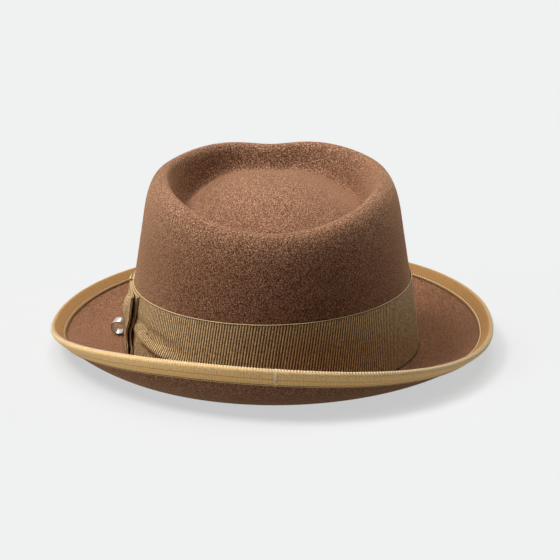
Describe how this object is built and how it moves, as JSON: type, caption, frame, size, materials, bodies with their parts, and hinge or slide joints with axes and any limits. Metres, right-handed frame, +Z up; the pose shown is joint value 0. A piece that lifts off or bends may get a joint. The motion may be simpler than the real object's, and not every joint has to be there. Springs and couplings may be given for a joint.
{
  "type": "fedora hat",
  "caption": "Felt fedora: rolled crown with a sunken ring-shaped gutter, curled ribbon-bound brim, wide ribbon band, flat side bow with a small hanging ring, leather sweatband and lining.",
  "frame": {"origin": "centre of the hat's outline seen from above, on the level surface that the underside of the brim rests on", "axes": "+Z up through the crown, -Y to the wearer's front, +X to the wearer's left, where the bow is"},
  "size_m": [0.27, 0.31, 0.1094],
  "materials": {
    "felt": "matt brown wool felt",
    "binding": "golden tan ribbed ribbon",
    "ribbon": "olive brown ribbed ribbon",
    "thread": "tan sewing thread",
    "ring": "polished silver-coloured metal",
    "leather": "smooth brown leather",
    "reed": "natural plastic",
    "tape": "woven cotton tape",
    "lining": "light brown satin"
  },
  "bodies": {
    "hat": {"felt_body": "felt", "brim_binding": "binding", "binding_stitch_upper": "thread", "binding_stitch_under": "thread", "binding_join_tack": "thread", "hat_band": "ribbon", "bow_inner_loop": "ribbon", "bow_outer_loop": "ribbon", "bow_knot": "ribbon", "sweatband": "leather", "sweatband_reed": "reed", "reed_tape": "tape", "sweatband_stitching": "thread", "sweatband_seam": "thread", "sweatband_seam_bow": "ribbon", "lining_side": "lining", "lining_tip": "lining", "lining_piping": "binding"},
    "ring_thread": {"ring_thread_loop": "thread"},
    "ring": {"knot_ring": "ring"}
  },
  "joints": [
    {"name": "ring_swing", "type": "hinge", "parent": "hat", "child": "ring_thread", "pos_m": [0.08808, -0.01021, 0.0141], "axis": [-0.1351, -0.9908, 0], "range_deg": [0, 70]},
    {"name": "ring_turn", "type": "hinge", "parent": "ring_thread", "child": "ring", "pos_m": [0.09328, -0.01021, 0.0081], "axis": [-0.2366, -0.9491, 0.2079], "continuous": true}
  ]
}
